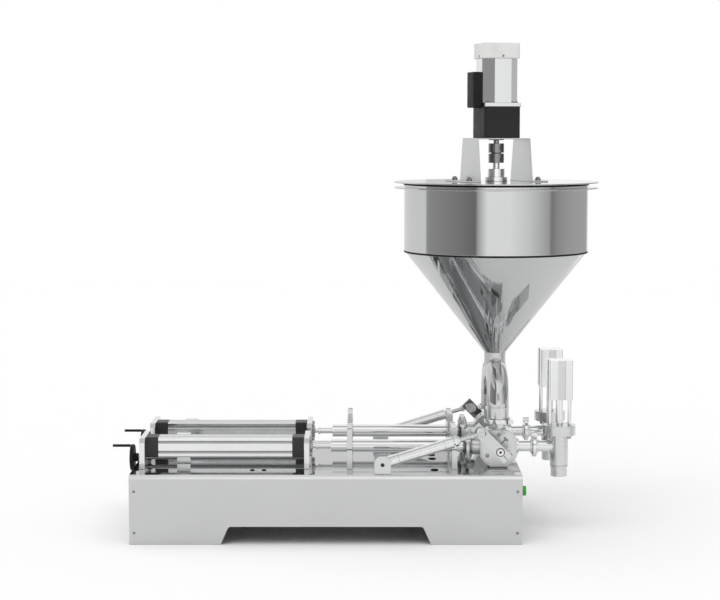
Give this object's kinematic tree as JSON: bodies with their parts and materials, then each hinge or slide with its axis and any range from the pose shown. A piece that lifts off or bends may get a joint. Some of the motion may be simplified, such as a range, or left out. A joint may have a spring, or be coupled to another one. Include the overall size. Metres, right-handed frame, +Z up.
{
  "type": "piston filler",
  "caption": "Bench piston filling machine with twin pneumatic heads, stirred stainless hopper, lever valves and vertical nozzles on a folded steel base.",
  "frame": {"origin": "centre of the machine's bounding box on the floor", "axes": "+X from the handwheels to the nozzles, +Y from the front panel to the back, +Z up"},
  "size_m": [1.1522, 0.486, 1.15],
  "materials": {
    "satin_steel": "satin sheet, mirror polished on the deck",
    "machined_steel": "fine machined",
    "polished_steel": "polished",
    "mirror_steel": "mirror polished",
    "screw_steel": "plain",
    "dark_steel": "dark oxide",
    "aluminium": "clear anodised",
    "black_coating": "satin black",
    "grey_paint": "dark grey",
    "black_plastic": "black",
    "white_plastic": "white",
    "green_plastic": "green",
    "black_rubber": "black"
  },
  "bodies": {
    "base": {"base_cover": "satin_steel", "side_panels": "satin_steel", "base_rivets": "screw_steel", "button_bezel": "black_plastic", "handwheel_plates": "machined_steel", "drive_barrels": "aluminium", "drive_end_caps": "black_coating", "drive_plates": "machined_steel", "carriage_guides": "polished_steel", "product_tubes": "polished_steel", "tube_clamp_bases": "machined_steel", "tube_clamp_caps": "machined_steel", "union_nuts": "machined_steel", "valve_bodies": "machined_steel", "valve_covers": "machined_steel", "actuator_brackets": "machined_steel", "outlet_pipes": "polished_steel", "nozzle_bodies": "polished_steel", "nozzle_cylinders": "aluminium", "nozzle_tie_rods": "polished_steel", "pipe_clamps": "machined_steel", "machine_screws": "dark_steel", "hopper_cylinder": "mirror_steel", "hopper_flange": "mirror_steel", "hopper_cone": "mirror_steel", "hopper_seals": "black_rubber", "manifold": "mirror_steel"},
    "handwheel_front": {"handwheel_front": "black_plastic", "lead_screw_front": "screw_steel"},
    "grip_front": {"crank_grip_front": "black_plastic"},
    "carriage_front": {"switch_carriage_front": "aluminium"},
    "piston_front": {"drive_rod_front": "polished_steel", "product_piston_front": "white_plastic"},
    "lever_front": {"valve_rotor_front": "polished_steel", "valve_lever_front": "machined_steel"},
    "actuator_front": {"actuator_body_front": "polished_steel"},
    "actuator_rod_front": {"actuator_rod_front": "polished_steel"},
    "plunger_front": {"nozzle_plunger_front": "polished_steel"},
    "handwheel_rear": {"handwheel_rear": "black_plastic", "lead_screw_rear": "screw_steel"},
    "grip_rear": {"crank_grip_rear": "black_plastic"},
    "carriage_rear": {"switch_carriage_rear": "aluminium"},
    "piston_rear": {"drive_rod_rear": "polished_steel", "product_piston_rear": "white_plastic"},
    "lever_rear": {"valve_rotor_rear": "polished_steel", "valve_lever_rear": "machined_steel"},
    "actuator_rear": {"actuator_body_rear": "polished_steel"},
    "actuator_rod_rear": {"actuator_rod_rear": "polished_steel"},
    "plunger_rear": {"nozzle_plunger_rear": "polished_steel"},
    "button": {"button_cap": "green_plastic"},
    "lid": {"lid": "mirror_steel", "lid_bolts": "dark_steel", "motor_bracket": "machined_steel", "bearing_housing": "machined_steel", "gearbox": "grey_paint", "motor_body": "aluminium", "motor_cap": "white_plastic", "terminal_box": "black_plastic"},
    "stirrer": {"agitator": "polished_steel", "shaft_coupling": "dark_steel"}
  },
  "joints": [
    {"name": "piston_stroke_front", "type": "slide", "parent": "base", "child": "piston_front", "axis": [1, 0, 0], "range_m": [0, 0.2]},
    {"name": "handwheel_turn_front", "type": "hinge", "parent": "base", "child": "handwheel_front", "pos_m": [-0.5292, -0.0705, 0.1725], "axis": [1, 0, 0], "range_deg": [0, 1800]},
    {"name": "carriage_slide_front", "type": "slide", "parent": "base", "child": "carriage_front", "axis": [1, 0, 0], "range_m": [0, 0.101]},
    {"name": "grip_spin_front", "type": "hinge", "parent": "handwheel_front", "child": "grip_front", "pos_m": [-0.5554, -0.0705, 0.2005], "axis": [1, 0, 0], "continuous": true},
    {"name": "lever_turn_front", "type": "hinge", "parent": "base", "child": "lever_front", "pos_m": [0.3331, -0.1515, 0.207], "axis": [0, 1, 0], "range_deg": [0, 60]},
    {"name": "actuator_swing_front", "type": "hinge", "parent": "base", "child": "actuator_front", "pos_m": [0.0615, -0.2105, 0.1824], "axis": [0, 1, 0], "range_deg": [-0.8, 0.4]},
    {"name": "actuator_stroke_front", "type": "slide", "parent": "actuator_front", "child": "actuator_rod_front", "axis": [0.955, 0, 0.2967], "range_m": [0, 0.0655]},
    {"name": "nozzle_lift_front", "type": "slide", "parent": "base", "child": "plunger_front", "axis": [0, 0, 1], "range_m": [0, 0.02]},
    {"name": "piston_stroke_rear", "type": "slide", "parent": "base", "child": "piston_rear", "axis": [1, 0, 0], "range_m": [0, 0.2]},
    {"name": "handwheel_turn_rear", "type": "hinge", "parent": "base", "child": "handwheel_rear", "pos_m": [-0.5292, 0.1485, 0.1725], "axis": [1, 0, 0], "range_deg": [0, 1800]},
    {"name": "carriage_slide_rear", "type": "slide", "parent": "base", "child": "carriage_rear", "axis": [1, 0, 0], "range_m": [0, 0.101]},
    {"name": "grip_spin_rear", "type": "hinge", "parent": "handwheel_rear", "child": "grip_rear", "pos_m": [-0.5554, 0.1485, 0.2005], "axis": [1, 0, 0], "continuous": true},
    {"name": "lever_turn_rear", "type": "hinge", "parent": "base", "child": "lever_rear", "pos_m": [0.3331, 0.1515, 0.207], "axis": [0, 1, 0], "range_deg": [0, 60]},
    {"name": "actuator_swing_rear", "type": "hinge", "parent": "base", "child": "actuator_rear", "pos_m": [0.0615, 0.2105, 0.1824], "axis": [0, 1, 0], "range_deg": [-0.8, 0.4]},
    {"name": "actuator_stroke_rear", "type": "slide", "parent": "actuator_rear", "child": "actuator_rod_rear", "axis": [0.955, 0, 0.2967], "range_m": [0, 0.0655]},
    {"name": "nozzle_lift_rear", "type": "slide", "parent": "base", "child": "plunger_rear", "axis": [0, 0, 1], "range_m": [0, 0.02]},
    {"name": "button_press", "type": "slide", "parent": "base", "child": "button", "axis": [-1, 0, 0], "range_m": [0, 0.003], "stiffness_N_per_m": 400},
    {"name": "lid_lift", "type": "slide", "parent": "base", "child": "lid", "axis": [0, 0, 1], "range_m": [0, 0.45]},
    {"name": "stirrer_turn", "type": "hinge", "parent": "lid", "child": "stirrer", "pos_m": [0.3331, 0, 0.7], "axis": [0, 0, 1], "continuous": true}
  ],
  "couplings": [
    {"joint": "carriage_slide_front", "follows": "handwheel_turn_front", "m_per_rad": 0.003183},
    {"joint": "actuator_swing_front", "follows": "lever_turn_front", "ratio": -0.012333},
    {"joint": "actuator_stroke_front", "follows": "lever_turn_front", "m_per_rad": 0.062166},
    {"joint": "carriage_slide_rear", "follows": "handwheel_turn_rear", "m_per_rad": 0.003183},
    {"joint": "actuator_swing_rear", "follows": "lever_turn_rear", "ratio": -0.012333},
    {"joint": "actuator_stroke_rear", "follows": "lever_turn_rear", "m_per_rad": 0.062166}
  ]
}
